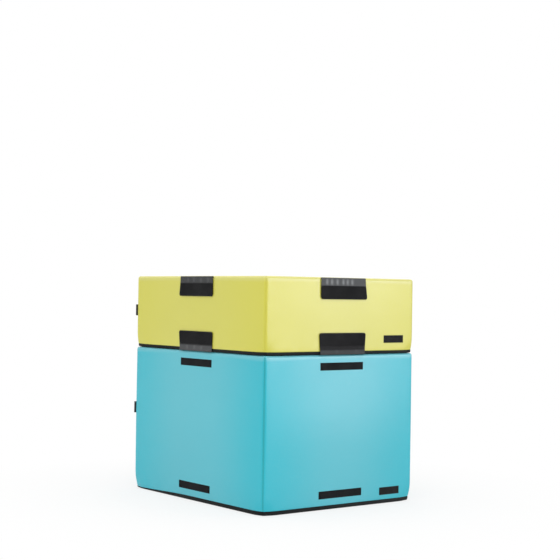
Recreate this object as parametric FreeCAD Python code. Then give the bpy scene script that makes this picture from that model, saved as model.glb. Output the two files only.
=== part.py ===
import FreeCAD, Part
import math
import os

# Two soft jump boxes, a low module stacked on a tall one, each a foam block in a sewn cover.
# Millimetres, +Z up. The origin is the centre of the footprint, on the floor.
# The long faces look along -Y (front) and +Y (back), the short ones along +X (right) and -X (left).

Vector = FreeCAD.Vector

# Modules
box_length = 908.0
box_width = 757.0
lower_height = 600.0
upper_height = 300.0
corner_radius = 11.0
top_edge_radius = 10.0
base_edge_radius = 5.0

# Cover and foam
cover_thickness = 1.2
lower_rim_height = 17.0
upper_rim_height = 13.0
foam_gap = 0.3
pad_thickness = 50.0

# Loop strips sewn near the top and bottom edges of every side
strip_length = 218.0
strip_height = 30.0
strip_top_inset = 31.0
strip_base_inset = 43.0
strip_thickness = 1.5

# Linking flaps of the upper module
flap_root_width = 226.0
flap_flare = 6.0
flap_reach = 82.0
flap_corner_radius = 10.0
flap_fabric_thickness = 1.0
flap_tape_thickness = 1.0
flap_tape_height = 50.0
flap_tape_margin = 2.5
flap_bead_radius = 2.0
flap_root_thickness = 1.5
flap_gap = 0.3
top_flap_drop = 3.0
bottom_flap_rise = 2.0

# Bare label patches at the lower right of the right side
label_length = 105.0
label_height = 32.0
label_thickness = 1.0
lower_label_inset = 69.0
upper_label_inset = 56.0
lower_label_rise = 34.0
upper_label_rise = 42.0

# Carry straps of webbing across the left side, sewn into both corner seams
strap_width = 47.0
strap_thickness = 2.2
strap_gap = 0.1
strap_tab_reach = 9.0
strap_loop_length = 220.0
strap_loop_rise = 30.0
lower_strap_height = 342.0
upper_strap_height = 156.0

# Zip in the underside of each base, near the back edge
zip_end_inset = 130.0
zip_inset = 70.0
zip_slot_width = 20.0
zip_tape_width = 34.0
zip_tape_overlap = 10.0
zip_tape_thickness = 0.8
zip_chain_width = 2.6
zip_chain_depth = 1.2
zip_chain_gap = 1.4
zip_clearance = 0.3
zip_end_gap = 4.0
slider_length = 15.0
slider_width = 11.0
slider_plate = 1.0
slider_tail_share = 0.6
pull_length = 24.0
pull_width = 7.0
pull_thickness = 1.0
pull_tail_share = 0.7
pull_eye_radius = 1.6
pull_eye_inset = 4.0
pull_floor_clearance = 0.5

# One overrun for all cutting shapes, and one tolerance for finding edges
overrun = 5.0
tolerance_share = 1e-6

# The base is as thick as the zip under it needs
base_floor = (pull_floor_clearance + pull_thickness + slider_plate
              + zip_clearance + zip_chain_depth)

# The flap's mid-plane turns about an axis that stands clear of the strips on both modules
flap_thickness = flap_fabric_thickness + 2 * flap_tape_thickness
hinge_out = strip_thickness + flap_gap + flap_thickness / 2

zip_length = box_length - 2 * zip_end_inset
total_height = lower_height + upper_height

# Degrees that each side is turned about Z from the front
side_turns = {"front": 0, "right": 90, "back": 180, "left": 270}


def side_span(side):
    """The width of a side, from corner to corner."""
    return box_length if side in ("front", "back") else box_width


def side_distance(side):
    """How far a side lies from the middle of the footprint."""
    return (box_width if side in ("front", "back") else box_length) / 2


def place_on(shape, side):
    """Move a shape drawn on the plane Y = 0, looking along -Y, onto one side of the boxes."""
    placed = shape.copy()
    placed.translate(Vector(0, -side_distance(side), 0))
    placed.rotate(Vector(0, 0, 0), Vector(0, 0, 1), side_turns[side])
    return placed


def box_between(x_low, x_high, y_low, y_high, z_low, z_high):
    """A box from its lowest and highest corners."""
    return Part.makeBox(x_high - x_low, y_high - y_low, z_high - z_low, Vector(x_low, y_low, z_low))


def upright_edges(shape):
    """The straight edges that run along Z."""
    found = []
    for edge in shape.Edges:
        box = edge.BoundBox
        if box.ZLength > max(box.XLength, box.YLength):
            found.append(edge)
    return found


def level_edges(shape, level):
    """The edges that lie at one height."""
    tolerance = shape.BoundBox.ZLength * tolerance_share
    return [edge for edge in shape.Edges
            if abs(edge.BoundBox.ZMin - level) < tolerance and abs(edge.BoundBox.ZMax - level) < tolerance]


def rounded_plate(length, width, low, high, radius):
    """An upright plate with rounded corners, centred on the Z axis."""
    plate = box_between(-length / 2, length / 2, -width / 2, width / 2, low, high)
    return plate.makeFillet(radius, upright_edges(plate))


def rounded_block(inset, low, high):
    """The footprint, drawn in by an inset, as a block with rounded corners and top edges."""
    block = rounded_plate(box_length - 2 * inset, box_width - 2 * inset, low, high, corner_radius - inset)
    return block.makeFillet(top_edge_radius - inset, level_edges(block, high))


def prism(points, along):
    """A flat outline pushed along a vector."""
    outline = Part.makePolygon(points + points[:1])
    return Part.Face(outline).extrude(along)


def frustum(outer, inner):
    """A solid between two outlines of four corners each."""
    faces = [Part.Face(Part.makePolygon(ring + ring[:1])) for ring in (outer, inner)]
    for first in range(len(outer)):
        second = (first + 1) % len(outer)
        ring = [outer[first], outer[second], inner[second], inner[first]]
        faces.append(Part.Face(Part.makePolygon(ring + ring[:1])))
    return Part.makeSolid(Part.makeShell(faces))


def rectangle_level(half_length, half_width, height):
    """The corners of a level rectangle."""
    return [Vector(-half_length, -half_width, height), Vector(half_length, -half_width, height),
            Vector(half_length, half_width, height), Vector(-half_length, half_width, height)]


def rectangle_upright(half_length, depth, low, high):
    """The corners of a rectangle that stands on edge behind the plane Y = 0."""
    return [Vector(-half_length, depth, low), Vector(half_length, depth, low),
            Vector(half_length, depth, high), Vector(-half_length, depth, high)]


def top_region(high):
    """The space that belongs to the top panel, mitred to the sides along the seams."""
    outer = rectangle_level(box_length / 2 + overrun, box_width / 2 + overrun, high + overrun)
    inner = rectangle_level(box_length / 2 - corner_radius, box_width / 2 - corner_radius,
                            high - corner_radius)
    return frustum(outer, inner)


def side_region(side, low, high):
    """The space that belongs to one side panel, mitred to its neighbours along the seams."""
    span = side_span(side)
    outer = rectangle_upright(span / 2 + overrun, -overrun, low, high + overrun)
    inner = rectangle_upright(span / 2 - corner_radius, corner_radius, low, high - corner_radius)
    return place_on(frustum(outer, inner), side)


def zip_cut(low, width, length, bottom, top):
    """A box along the zip line, for the slot in the base or the groove in the foam."""
    middle = box_width / 2 - zip_inset
    return box_between(-length / 2, length / 2, middle - width / 2, middle + width / 2,
                       low + bottom, low + top)


def module_pieces(low, high, rim_height):
    """The sewn panels, the base and the foam of one module."""
    outer = rounded_block(0, low, high)
    outer = outer.makeFillet(base_edge_radius, level_edges(outer, low))
    skin = outer.cut(rounded_block(cover_thickness, low + base_floor, high - cover_thickness))

    base_space = box_between(-box_length, box_length, -box_width, box_width,
                             low - overrun, low + rim_height)
    slot = zip_cut(low, zip_slot_width, zip_length, -overrun, base_floor + overrun)
    pieces = {"base_tray": skin.common(base_space).cut(slot)}
    for side in side_turns:
        pieces[side + "_panel"] = skin.common(side_region(side, low + rim_height, high))
    pieces["top_panel"] = skin.common(top_region(high))

    foam_inset = cover_thickness + foam_gap
    foam = rounded_block(foam_inset, low + base_floor, high - foam_inset)
    groove_top = base_floor + zip_tape_thickness + slider_plate + 2 * zip_clearance
    tape_length = zip_length + 2 * zip_tape_overlap
    groove = zip_cut(low, zip_tape_width + 2 * foam_gap, tape_length + 2 * foam_gap,
                     base_floor - overrun, groove_top)
    pad_level = high - foam_inset - pad_thickness
    pad_space = box_between(-box_length, box_length, -box_width, box_width, pad_level, high)
    pieces["landing_pad"] = foam.common(pad_space)
    pieces["foam_core"] = foam.cut(pad_space).cut(groove)
    return outer, pieces


def strip_group(level):
    """One loop strip on each side, with its middle at one height."""
    strip = box_between(-strip_length / 2, strip_length / 2, -strip_thickness, 0,
                        level - strip_height / 2, level + strip_height / 2)
    return Part.makeCompound([place_on(strip, side) for side in side_turns])


def label_patch(bottom, side_inset):
    """The bare patch near the right end of the right side."""
    right_end = side_span("right") / 2 - side_inset
    patch = box_between(right_end - label_length, right_end, -label_thickness, 0,
                        bottom, bottom + label_height)
    return place_on(patch, "right")


def carry_strap(level, module_outer):
    """Webbing from corner seam to corner seam of the left side, with a hand loop in the middle."""
    span = side_span("left")
    half_span = span / 2
    low = level - strap_width / 2
    up = Vector(0, 0, strap_width)

    # Flat run that follows the rounded corners
    def outline(offset):
        plate = rounded_plate(span + 2 * offset, box_length + 2 * offset, low, low + strap_width,
                              corner_radius + offset)
        plate.translate(Vector(0, box_length / 2, 0))
        return plate

    reach = strap_thickness + overrun
    side_wedge = prism([Vector(-half_span - reach, -reach, low), Vector(half_span + reach, -reach, low),
                        Vector(0, half_span, low)], up)
    band = outline(strap_gap + strap_thickness).cut(outline(strap_gap)).common(side_wedge)

    # Hand loop, an arc that rises from the flat run
    half_loop = strap_loop_length / 2
    loop_radius = (half_loop ** 2 + strap_loop_rise ** 2) / (2 * strap_loop_rise)
    loop_middle = Vector(0, loop_radius - strap_loop_rise - strap_gap, low)
    loop_inside = Part.makeCylinder(loop_radius, strap_width, loop_middle)
    loop_outside = Part.makeCylinder(loop_radius + strap_thickness, strap_width, loop_middle)
    behind = box_between(-span, span, -strap_gap, box_length, low - overrun, low + strap_width + overrun)
    loop = loop_outside.cut(loop_inside).cut(behind)
    strap = band.cut(loop_inside).fuse(loop)

    # Folded end at each corner, standing out of the seam
    seam = corner_radius * (1 - math.sqrt(0.5))
    fold_length = strap_tab_reach - strap_thickness
    for turn, corner in ((225, -half_span + seam), (315, half_span - seam)):
        fold = box_between(-overrun, fold_length, -strap_thickness, strap_thickness, low, low + strap_width)
        fold = fold.fuse(Part.makeCylinder(strap_thickness, strap_width, Vector(fold_length, 0, low)))
        fold.rotate(Vector(0, 0, 0), Vector(0, 0, 1), turn)
        fold.translate(Vector(corner, seam, 0))
        strap = strap.fuse(fold)
    return place_on(strap.removeSplitter(), "left").cut(module_outer)


def tapered_plate(start, end, width, tail_share, low, thickness):
    """A level plate that widens from its tail at the start to its full width at the end."""
    tail = width * tail_share / 2
    points = [Vector(start, -tail, low), Vector(end, -width / 2, low),
              Vector(end, width / 2, low), Vector(start, tail, low)]
    return prism(points, Vector(0, 0, thickness))


def zip_pieces(low):
    """Both halves of the zip tape, the slider and its pull, closed at the left end."""
    middle = box_width / 2 - zip_inset
    half_tape = (zip_length + 2 * zip_tape_overlap) / 2
    half_chain = zip_length / 2 - zip_clearance
    tape_low = low + base_floor
    halves = []
    for sign in (-1, 1):
        inner = sign * zip_chain_gap / 2
        outer = sign * zip_tape_width / 2
        bead = sign * (zip_chain_gap / 2 + zip_chain_width)
        tape = box_between(-half_tape, half_tape, middle + min(inner, outer), middle + max(inner, outer),
                           tape_low, tape_low + zip_tape_thickness)
        chain = box_between(-half_chain, half_chain, middle + min(inner, bead), middle + max(inner, bead),
                            tape_low - zip_chain_depth, tape_low)
        halves.append(tape.fuse(chain).removeSplitter())

    start = -zip_length / 2 + zip_end_gap + slider_length / 2
    lower_top = tape_low - zip_chain_depth - zip_clearance
    upper_bottom = tape_low + zip_tape_thickness + zip_clearance
    slider = box_between(-slider_length / 2, slider_length / 2, -zip_chain_gap / 2 + zip_clearance,
                         zip_chain_gap / 2 - zip_clearance, lower_top, upper_bottom)
    for plate_low in (lower_top - slider_plate, upper_bottom):
        slider = slider.fuse(tapered_plate(-slider_length / 2, slider_length / 2, slider_width,
                                           slider_tail_share, plate_low, slider_plate))
    slider = slider.removeSplitter()

    pull_low = lower_top - slider_plate - pull_thickness
    pull = tapered_plate(0, pull_length, pull_width, pull_tail_share, pull_low, pull_thickness)
    eye = Part.makeCylinder(pull_eye_radius, pull_thickness + 2 * overrun,
                            Vector(pull_length - pull_eye_inset, 0, pull_low - overrun))
    pull = pull.cut(eye)
    for piece in (slider, pull):
        piece.translate(Vector(start, middle, 0))
    return {"zip_tape": Part.makeCompound(halves), "zip_slider": slider, "zip_pull": pull}


def flap_half_width(distance):
    """Half the flap's width at a distance from its hinge."""
    return flap_root_width / 2 + flap_flare * distance / flap_reach


def flap_sheet(axis_height, direction, start, end, margin, out_low, thickness):
    """A flat flared sheet from one distance from the hinge to another."""
    near = flap_half_width(start) - margin
    far = flap_half_width(end) - margin
    start_height = axis_height + direction * start
    end_height = axis_height + direction * end
    points = [Vector(-near, -out_low, start_height), Vector(near, -out_low, start_height),
              Vector(far, -out_low, end_height), Vector(-far, -out_low, end_height)]
    return prism(points, Vector(0, -thickness, 0))


def round_free_end(sheet, end_height, radius):
    """A flap sheet with its two corners at the free end rounded."""
    tolerance = flap_fabric_thickness * tolerance_share
    corners = [edge for edge in level_edges(sheet, end_height) if edge.BoundBox.XLength < tolerance]
    return sheet.makeFillet(radius, corners)


def flap_pieces(axis_height, direction):
    """One flap's fabric with its rolled bead, and the hook tapes on its two faces."""
    fabric_low = hinge_out - flap_fabric_thickness / 2
    fabric = flap_sheet(axis_height, direction, 0, flap_reach, 0, fabric_low, flap_fabric_thickness)
    fabric = round_free_end(fabric, axis_height + direction * flap_reach, flap_corner_radius)
    bead = Part.makeCylinder(flap_bead_radius, flap_root_width,
                             Vector(-flap_root_width / 2, -hinge_out, axis_height), Vector(1, 0, 0))
    tape_end = flap_reach - flap_tape_margin
    tape_start = tape_end - flap_tape_height
    pieces = {"": fabric.fuse(bead).removeSplitter()}
    for name, out_low in (("_inner_tape", hinge_out - flap_thickness / 2),
                          ("_outer_tape", fabric_low + flap_fabric_thickness)):
        tape = flap_sheet(axis_height, direction, tape_start, tape_end, flap_tape_margin,
                          out_low, flap_tape_thickness)
        pieces[name] = round_free_end(tape, axis_height + direction * tape_end,
                                      flap_corner_radius - flap_tape_margin)
    return pieces


def flap_roots(profile, module_outer):
    """The sewn-in web behind each flap's bead, one on each side, from its outline (out, height)."""
    points = [Vector(-flap_root_width / 2, -out, height) for out, height in profile]
    web = prism(points, Vector(flap_root_width, 0, 0))
    return Part.makeCompound([place_on(web, side).cut(module_outer) for side in side_turns])


def root_profile(axis_height, sunk):
    """A level web, its upper face level with the flap's axis, from inside the module out to the bead."""
    tip = hinge_out - flap_bead_radius - flap_gap
    low = axis_height - flap_root_thickness
    return [(-sunk, low), (tip, low), (tip, axis_height), (-sunk, axis_height)]


def build():
    """All nodes by name."""
    nodes = {}
    modules = (("lower", 0, lower_height, lower_rim_height, lower_strap_height,
                label_patch(lower_label_rise, lower_label_inset)),
               ("upper", lower_height, total_height, upper_rim_height, upper_strap_height,
                label_patch(lower_height + upper_label_rise, upper_label_inset)))
    for name, low, high, rim_height, strap_height, label in modules:
        outer, pieces = module_pieces(low, high, rim_height)
        pieces["top_strips"] = strip_group(high - strip_top_inset - strip_height / 2)
        pieces["bottom_strips"] = strip_group(low + strip_base_inset + strip_height / 2)
        pieces["label_patch"] = label
        pieces["carry_strap"] = carry_strap(low + strap_height, outer)
        pieces.update(zip_pieces(low))
        for piece, shape in pieces.items():
            nodes[name + "_" + piece] = shape

    flap_rows = (("top", total_height - top_flap_drop, -1, top_edge_radius),
                 ("bottom", lower_height + bottom_flap_rise, 1, base_edge_radius))
    for edge, axis_height, direction, sunk in flap_rows:
        nodes["upper_" + edge + "_flap_roots"] = flap_roots(root_profile(axis_height, sunk), outer)
        for suffix, shape in flap_pieces(axis_height, direction).items():
            for side in side_turns:
                nodes[side + "_" + edge + "_flap" + suffix] = place_on(shape, side)
    return nodes


os.makedirs("parts", exist_ok=True)
for node, shape in sorted(build().items()):
    shape.exportStep("parts/" + node + ".step")
    print(node, len(shape.Solids), "solids", round(shape.Volume), "mm3", "valid", shape.isValid())
zip_travel = zip_length - slider_length / 2 - pull_length - 2 * zip_end_gap
print("flap axes stand out", hinge_out, "; zip travel", zip_travel)
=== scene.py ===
# %% [markdown]
# A soft jump box in two parts: a low yellow module stands on a tall turquoise one, and black flaps
# with hook tape tie the two together. The frame holds the real sizes and the moving bodies, so it is
# loaded first, and every piece below takes its place from it.

# %% Load the frame
import math

import bmesh
import bpy
import numpy as np
from mathutils import Matrix, Vector, noise


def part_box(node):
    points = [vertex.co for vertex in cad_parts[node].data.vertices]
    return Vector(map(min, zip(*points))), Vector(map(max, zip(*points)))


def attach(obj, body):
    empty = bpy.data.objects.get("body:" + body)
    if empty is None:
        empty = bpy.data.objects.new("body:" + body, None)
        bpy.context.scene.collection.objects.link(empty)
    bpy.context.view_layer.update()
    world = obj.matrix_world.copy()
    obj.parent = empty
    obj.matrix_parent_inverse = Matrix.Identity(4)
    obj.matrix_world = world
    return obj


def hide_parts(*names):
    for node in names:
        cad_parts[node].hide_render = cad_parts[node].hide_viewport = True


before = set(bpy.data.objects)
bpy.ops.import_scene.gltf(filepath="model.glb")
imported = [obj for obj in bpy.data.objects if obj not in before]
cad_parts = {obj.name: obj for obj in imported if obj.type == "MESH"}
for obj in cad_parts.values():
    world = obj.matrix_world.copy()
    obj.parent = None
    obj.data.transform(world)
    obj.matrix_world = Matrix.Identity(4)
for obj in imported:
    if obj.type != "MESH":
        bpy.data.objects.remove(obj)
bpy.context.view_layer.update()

mm = 0.001

# %% [markdown]
# The sizes of both modules come from their solids. Everything that sits on a side is drawn once, on
# the plane Y = 0 looking along -Y, and then carried to its side by a matrix, so one drawing serves
# all four sides.

# %% Sizes read from the frame
module_box = {}
base_rim = {}
for module in ("lower", "upper"):
    base_low, base_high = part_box(module + "_base_tray")
    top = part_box(module + "_top_panel")[1].z
    module_box[module] = (base_low, Vector((base_high.x, base_high.y, top)))
    base_rim[module] = base_high.z - base_low.z
side_turns = {"front": 0, "right": 90, "back": 180, "left": 270}
side_distance = {"front": base_high.y, "right": base_high.x, "back": base_high.y, "left": base_high.x}


def side_matrix(side):
    """Carries what is drawn on the plane Y = 0 onto one side of the box."""
    turn = Matrix.Rotation(math.radians(side_turns[side]), 4, "Z")
    return turn @ Matrix.Translation((0, -side_distance[side], 0))


def middle_of(node):
    """The middle of a solid's box."""
    low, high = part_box(node)
    return (low + high) / 2


print("modules", module_box, "base rims", base_rim)

# %% [markdown]
# The camera comes first. A fit of the box's corners gave its place: a little below the top of the
# box, five and a half metres from its middle, opposite the front right corner, with a long lens. The
# picture is taken to be square.

# %% Camera
camera_place = (4.405, -3.371, 0.832)
camera_pitch = 0.61
camera_roll = 0.85
camera_turn = 52.24
camera_lens = 85.35

bpy.ops.object.camera_add(location=camera_place)
camera = bpy.context.object
camera.rotation_euler = [math.radians(a) for a in (90 + camera_pitch, -camera_roll, camera_turn)]
camera.data.sensor_width = 36
camera.data.lens = camera_lens
bpy.context.scene.camera = camera
print("camera", tuple(camera.location), "lens", camera.data.lens)

# %% [markdown]
# A few helpers stand for what the hand does over and over: start from a cube, cut a loop right round
# it, pick parts by the way they lie, apply a modifier, and hand the finished piece to its body.

# %% Modelling helpers


def start_piece(name, add, **settings):
    """A new piece from an operator that adds a mesh."""
    bpy.ops.object.select_all(action="DESELECT")
    add(**settings)
    piece = bpy.context.object
    piece.name = name
    return piece


def start_cube(name, low, high):
    """A cube between two corners, left open in edit mode."""
    low, high = Vector(low), Vector(high)
    piece = start_piece(name, bpy.ops.mesh.primitive_cube_add, size=1)
    bpy.ops.object.mode_set(mode="EDIT")
    bpy.ops.transform.resize(value=high - low)
    bpy.ops.transform.translate(value=(low + high) / 2)
    return piece


def select_only(piece):
    """Select one piece alone and make it active."""
    bpy.ops.object.select_all(action="DESELECT")
    piece.select_set(True)
    bpy.context.view_layer.objects.active = piece


def open_mesh(piece):
    """Open a piece in edit mode, all selected."""
    select_only(piece)
    bpy.ops.object.mode_set(mode="EDIT")
    bpy.ops.mesh.select_all(action="SELECT")


def close_mesh():
    """Leave edit mode."""
    bpy.ops.object.mode_set(mode="OBJECT")


def cut_round(axis, place):
    """Cut a loop right round, square to an axis."""
    normal = [float(number == axis) for number in range(3)]
    bpy.ops.mesh.select_all(action="SELECT")
    bpy.ops.mesh.bisect(plane_co=[place * part for part in normal], plane_no=normal)


def select_parts(piece, kind, test):
    """Select the points, edges or faces that pass a test, and count them."""
    bpy.ops.mesh.select_mode(type=kind)
    bpy.ops.mesh.select_all(action="DESELECT")
    mesh = bmesh.from_edit_mesh(piece.data)
    parts = {"VERT": mesh.verts, "EDGE": mesh.edges, "FACE": mesh.faces}[kind]
    found = [part for part in parts if test(part)]
    for part in found:
        part.select_set(True)
    bmesh.update_edit_mesh(piece.data)
    return len(found)


def edge_run(edge):
    """The vector along an edge."""
    return edge.verts[1].co - edge.verts[0].co


def apply_modifier(piece, kind, **settings):
    """Add a modifier, set it and apply it."""
    select_only(piece)
    modifier = piece.modifiers.new(kind.lower(), kind)
    for name, value in settings.items():
        setattr(modifier, name, value)
    bpy.ops.object.modifier_apply(modifier=modifier.name)


def repeat_along(piece, count, step):
    """Repeat a piece along X with an array."""
    apply_modifier(piece, "ARRAY", count=count, use_relative_offset=False, use_constant_offset=True,
                   constant_offset_displace=(step, 0, 0))


smooth_angle = math.radians(50)


def thicken(piece, thickness, offset):
    """Give a sheet its thickness and smooth shading."""
    apply_modifier(piece, "SOLIDIFY", thickness=thickness, offset=offset, use_even_offset=True)
    bpy.ops.object.shade_smooth_by_angle(angle=smooth_angle)


def points_of(piece):
    """The places of a mesh's points, one row each."""
    points = np.empty(len(piece.data.vertices) * 3)
    piece.data.vertices.foreach_get("co", points)
    return points.reshape(-1, 3)


def normals_of(piece):
    """The directions its points face, one row each."""
    return np.array([vertex.normal for vertex in piece.data.vertices])


def move_points(piece, points):
    """Put a mesh's points in new places."""
    piece.data.vertices.foreach_set("co", np.asarray(points, float).ravel())
    piece.data.update()


def store_value(piece, name, values):
    """Keep one number for each point of a mesh."""
    layer = piece.data.attributes.new(name, "FLOAT", "POINT")
    layer.data.foreach_set("value", np.asarray(values, np.float32))


def read_value(piece, name):
    """The numbers kept with the points of a mesh."""
    values = np.empty(len(piece.data.vertices), np.float32)
    piece.data.attributes[name].data.foreach_get("value", values)
    return values.astype(float)


def placed_copy(piece, name, matrix):
    """A copy with a mesh of its own, carried to its place."""
    copy = piece.copy()
    copy.data = piece.data.copy()
    copy.name = name
    copy.data.transform(matrix)
    bpy.context.collection.objects.link(copy)
    return copy


def join_pieces(name, pieces):
    """Several meshes as one piece."""
    select_only(pieces[0])
    for piece in pieces[1:]:
        piece.select_set(True)
    bpy.ops.object.join()
    pieces[0].name = name
    return pieces[0]


def dress(piece, *materials):
    """Set a piece's materials, with the first one on every face."""
    piece.data.materials.clear()
    for material in materials:
        piece.data.materials.append(material)
    piece.data.polygons.foreach_set("material_index", [0] * len(piece.data.polygons))


def hand_over(piece, body, slot, *nodes):
    """Give a piece its body and hide the solids that it stands for; the slot is not used."""
    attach(piece, body)
    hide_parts(*nodes)


def smooth_step(share):
    """Rises from 0 to 1 with level ends."""
    share = np.clip(share, 0, 1)
    return share * share * (3 - 2 * share)


# %% [markdown]
# Materials are made of nodes, and a small helper adds a node and fills or links its inputs in one
# line. What several finishes share is a node group: the weave of the cloth, the pebble of a coated
# face, and the uneven tone that handling leaves. A group puts out numbers only, and the shader that
# uses them stays in the material.

# %% Node helpers


def fill_input(socket, value):
    """Link another node's output to an input, or set its value."""
    if isinstance(value, bpy.types.NodeSocket):
        socket.id_data.links.new(value, socket)
    else:
        socket.default_value = value


def fill_inputs(node, inputs):
    """Fill the inputs of a node that are named, with _ for a space."""
    for name, value in inputs.items():
        fill_input(node.inputs[name.replace("_", " ")], value)


def add_node(tree, kind, settings=None, **inputs):
    """Add a shader node with its settings and inputs."""
    node = tree.nodes.new("ShaderNode" + kind)
    for name, value in (settings or {}).items():
        setattr(node, name, value)
    fill_inputs(node, inputs)
    return node


def calculate(operation, first, second=0.0):
    """One sum, and its output."""
    node = add_node(first.id_data, "Math", {"operation": operation})
    fill_input(node.inputs[0], first)
    fill_input(node.inputs[1], second)
    return node.outputs[0]


def mix(share, first, second):
    """A colour between two others."""
    node = add_node(share.id_data, "Mix", {"data_type": "RGBA"}, Factor=share)
    fill_input(node.inputs[6], first)
    fill_input(node.inputs[7], second)
    return node.outputs[2]


def map_range(value, from_low, from_high, to_low=0.0, to_high=1.0, kind="LINEAR"):
    """Stretch a value from one range to another."""
    node = add_node(value.id_data, "MapRange", {"interpolation_type": kind}, Value=value,
                    From_Min=from_low, From_Max=from_high, To_Min=to_low, To_Max=to_high)
    return node.outputs["Result"]


def place_of(tree):
    """The place of the shaded point in the part's frame."""
    return add_node(tree, "TexCoord").outputs["Object"]


def kept_value(tree, name):
    """A number that was kept with the points of the mesh."""
    return add_node(tree, "Attribute", {"attribute_name": name}).outputs["Fac"]


def noise_value(place, scale, detail):
    """Cloudy noise at a scale in waves per metre."""
    node = add_node(place.id_data, "TexNoise", None, Vector=place, Scale=scale, Detail=detail)
    return node.outputs["Fac"]


def new_group(name, given, outputs):
    """An empty node group with one named number in and several out."""
    group = bpy.data.node_groups.new(name, "ShaderNodeTree")
    group.interface.new_socket(given, in_out="INPUT", socket_type="NodeSocketFloat")
    for label in outputs:
        group.interface.new_socket(label, in_out="OUTPUT", socket_type="NodeSocketFloat")
    return group, group.nodes.new("NodeGroupInput").outputs[0], group.nodes.new("NodeGroupOutput")


def use_group(tree, group, **inputs):
    """Place a node group in a material and fill its inputs."""
    return add_node(tree, "Group", {"node_tree": group}, **inputs).outputs


# %% [markdown]
# The three groups come next. Threads that ran along two fixed axes would draw rings where a face
# turns, so the weave takes its threads from the way that each face looks.

# %% Shared effects


def make_weave():
    """Two sets of threads, along the two directions of each face."""
    group, threads_per_metre, result = new_group("weave", "Threads per metre", ["Height"])
    where = add_node(group, "TexCoord")
    place = add_node(group, "SeparateXYZ", None, Vector=where.outputs["Object"])
    facing = add_node(group, "SeparateXYZ", None, Vector=where.outputs["Normal"])
    beat = calculate("MULTIPLY", threads_per_metre, math.pi)
    waves = {}
    shares = {}
    for axis in "XYZ":
        waves[axis] = calculate("SINE", calculate("MULTIPLY", place.outputs[axis], beat))
        shares[axis] = calculate("POWER", calculate("ABSOLUTE", facing.outputs[axis]), 4.0)
    total = 0.0
    for across, warp, weft in ("XYZ", "YZX", "ZXY"):
        threads = calculate("MULTIPLY", waves[warp], waves[weft])
        total = calculate("ADD", calculate("MULTIPLY", threads, shares[across]), total)
    fill_inputs(result, {"Height": total})
    return group


def make_pebble():
    """The small rounded pebbles pressed into a coated face."""
    group, pebbles_per_metre, result = new_group("pebble", "Pebbles per metre", ["Height"])
    cells = add_node(group, "TexVoronoi", {"feature": "SMOOTH_F1"}, Vector=place_of(group),
                     Scale=pebbles_per_metre, Smoothness=0.6)
    fill_inputs(result, {"Height": cells.outputs["Distance"]})
    return group


def make_handling():
    """Uneven tone in broad patches, smudges from rubbing, and specks of dust."""
    group, patches, result = new_group("handling", "Patches per metre", ["Tone", "Rub", "Dust"])
    place = place_of(group)
    rub = noise_value(place, calculate("MULTIPLY", patches, 4.0), 5.0)
    dust = noise_value(place, calculate("MULTIPLY", patches, 260.0), 1.0)
    fill_inputs(result, {"Tone": noise_value(place, patches, 2.0),
                         "Rub": map_range(rub, 0.42, 0.68),
                         "Dust": map_range(dust, 0.66, 0.74)})
    return group


weave = make_weave()
pebble = make_pebble()
handling = make_handling()
print("node groups", [group.name for group in bpy.data.node_groups])

# %% [markdown]
# Each finish is one function. The cover is a woven cloth under a satin plastic coat: the weave shows
# through as a very fine grain, and the tone drifts a little from place to place. Shade is painted into
# the upright seams, and highlights are painted in the middle of each side and along the top edges.
# Handling makes the gloss uneven, so roughness follows the patches that rubbing leaves.

# %% Material helpers


def start_material(name):
    """A new material with its shader, ready for nodes."""
    material = bpy.data.materials.new(name)
    material.use_nodes = True
    tree = material.node_tree
    return material, tree, tree.nodes["Principled BSDF"]


def shade(colour, factor=1.0):
    """A colour made lighter or darker, with full alpha."""
    return (*[min(1.0, part * factor) for part in colour], 1.0)


def add_dust(marks, share, ground, dust):
    """Specks of dust over a colour."""
    return mix(calculate("MULTIPLY", marks["Dust"], share), ground, shade(dust))


def paint(shader, ground, roughness, specular=0.5):
    """Give a shader its colour, its roughness and the strength of its shine."""
    fill_inputs(shader, {"Base Color": ground, "Roughness": roughness,
                         "Specular IOR Level": specular})


def add_bump(shader, height, depth, strength, under=None):
    """A bump of a depth in metres, over another one where that is given."""
    bump = add_node(shader.id_data, "Bump", None, Height=height, Distance=depth, Strength=strength)
    if under:
        fill_inputs(bump, {"Normal": under})
    fill_inputs(shader, {"Normal": bump.outputs["Normal"]})
    return bump.outputs["Normal"]


def add_grain(shader, threads, pebbles):
    """A weave with pebbles over it, each given by its scale, depth and strength."""
    height = use_group(shader.id_data, weave, Threads_per_metre=threads[0])["Height"]
    cells = use_group(shader.id_data, pebble, Pebbles_per_metre=pebbles[0])["Height"]
    add_bump(shader, cells, *pebbles[1:], add_bump(shader, height, *threads[1:]))


# %% [markdown]
# With these helpers each finish is a few lines: a ground colour, what wear and dust do to it, the
# shade and highlights painted into some finishes, its gloss and its grain. The distances that a
# cover's painted shade and highlights follow are kept with its points later, when the skin is made.

# %% Finishes
# The colour of the highlights painted in the middle of each side of a cover and along its top edges.
painted_highlight_colour = (0.86, 0.86, 0.84)
pale_dust = (0.86, 0.86, 0.83)
crown_run = 360 * mm


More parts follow.
